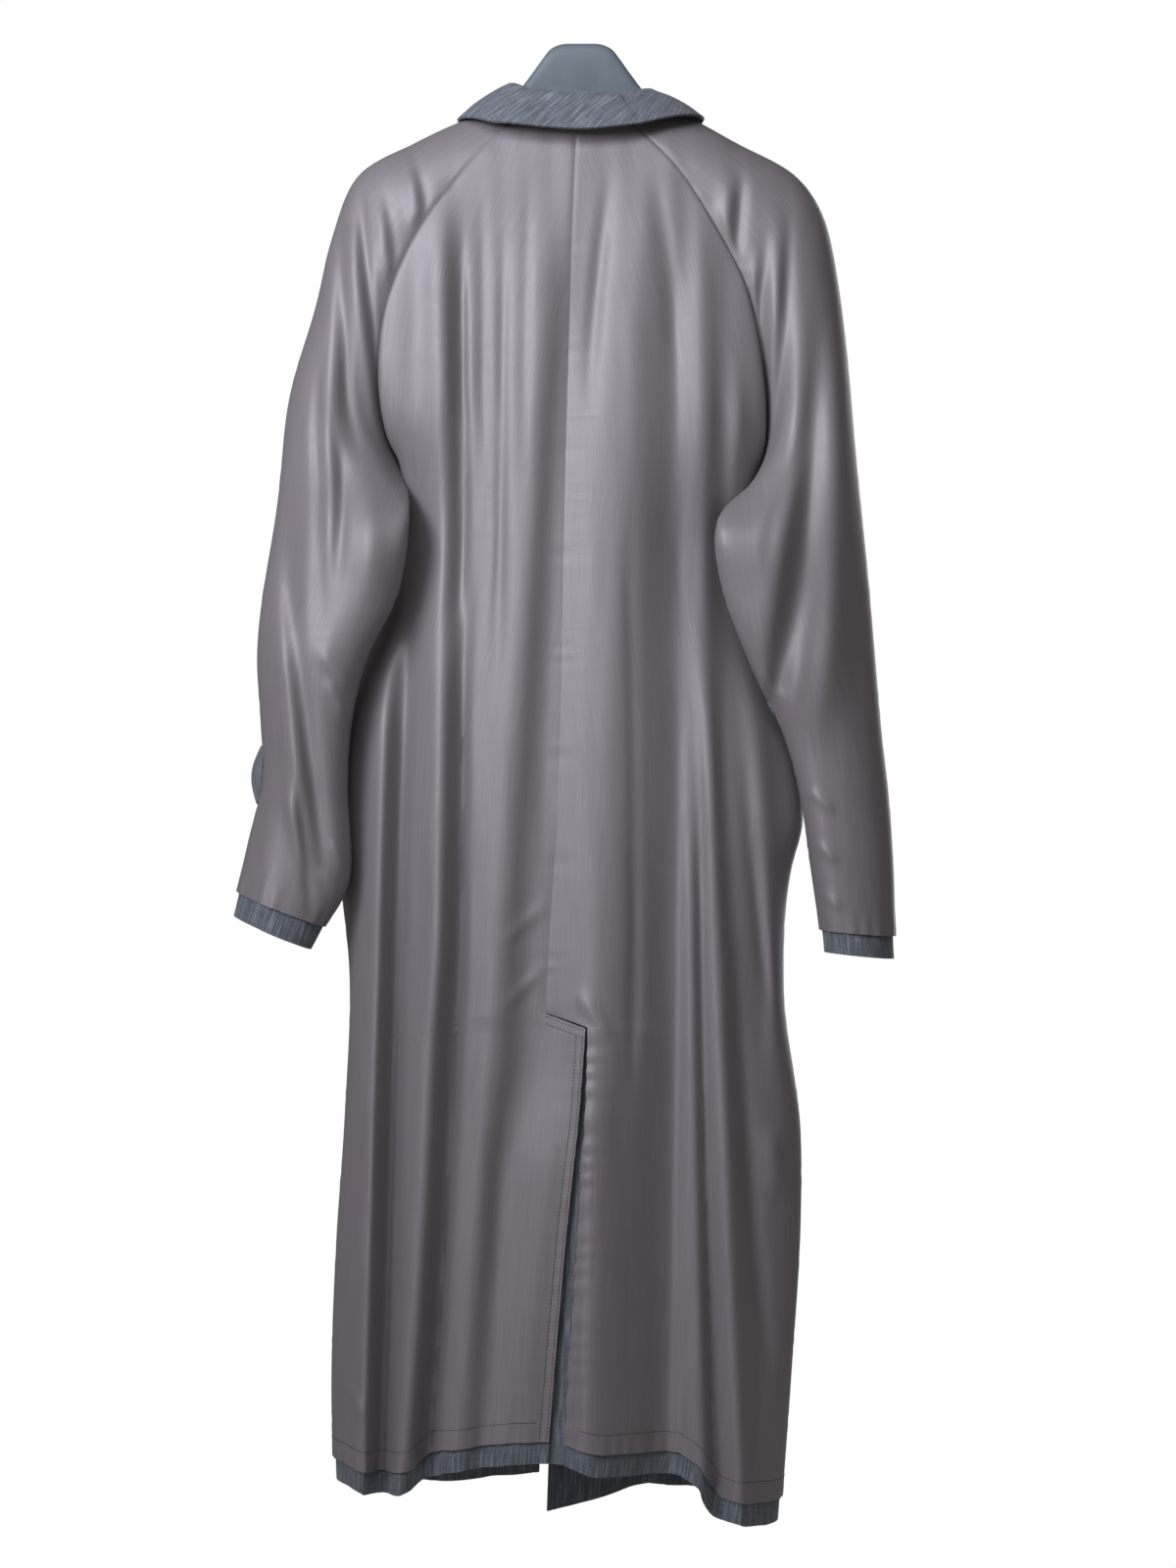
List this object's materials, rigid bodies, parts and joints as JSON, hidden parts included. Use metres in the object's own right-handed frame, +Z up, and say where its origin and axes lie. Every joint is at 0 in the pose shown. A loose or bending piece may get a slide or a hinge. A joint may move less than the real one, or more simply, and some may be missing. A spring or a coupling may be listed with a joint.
{
  "type": "inside-out raglan coat on a broad hanger",
  "caption": "Long raglan coat, turned inside out and hung on a broad hanger: satin lining outside, wool collar, hem, cuffs and facings, back vent, open front, hollow.",
  "frame": {"origin": "mouth of the hook hole, in the flat top of the hanger", "axes": "+Z up along the hook, the coat's back faces -Y and its open front +Y, +X is the right as seen from behind"},
  "size_m": [0.5906, 0.1945, 1.3324],
  "materials": {
    "lining": "satin, mauve grey",
    "wool": "matt slubbed weave",
    "hanger": "smooth matt"
  },
  "bodies": {
    "root": {"lining_back_left": "lining", "lining_back_right": "lining", "lining_front_left": "lining", "lining_front_right": "lining", "lining_sleeve_back_left": "lining", "lining_sleeve_back_right": "lining", "lining_sleeve_front_left": "lining", "lining_sleeve_front_right": "lining", "facing_left": "wool", "facing_right": "wool", "hem_back_left": "wool", "hem_back_right": "wool", "hem_front_left": "wool", "hem_front_right": "wool", "cuff_back_left": "wool", "cuff_back_right": "wool", "cuff_front_left": "wool", "cuff_front_right": "wool", "vent_underlay": "wool", "sleeve_strap_left": "wool", "collar": "wool", "hanger": "hanger"}
  },
  "joints": []
}
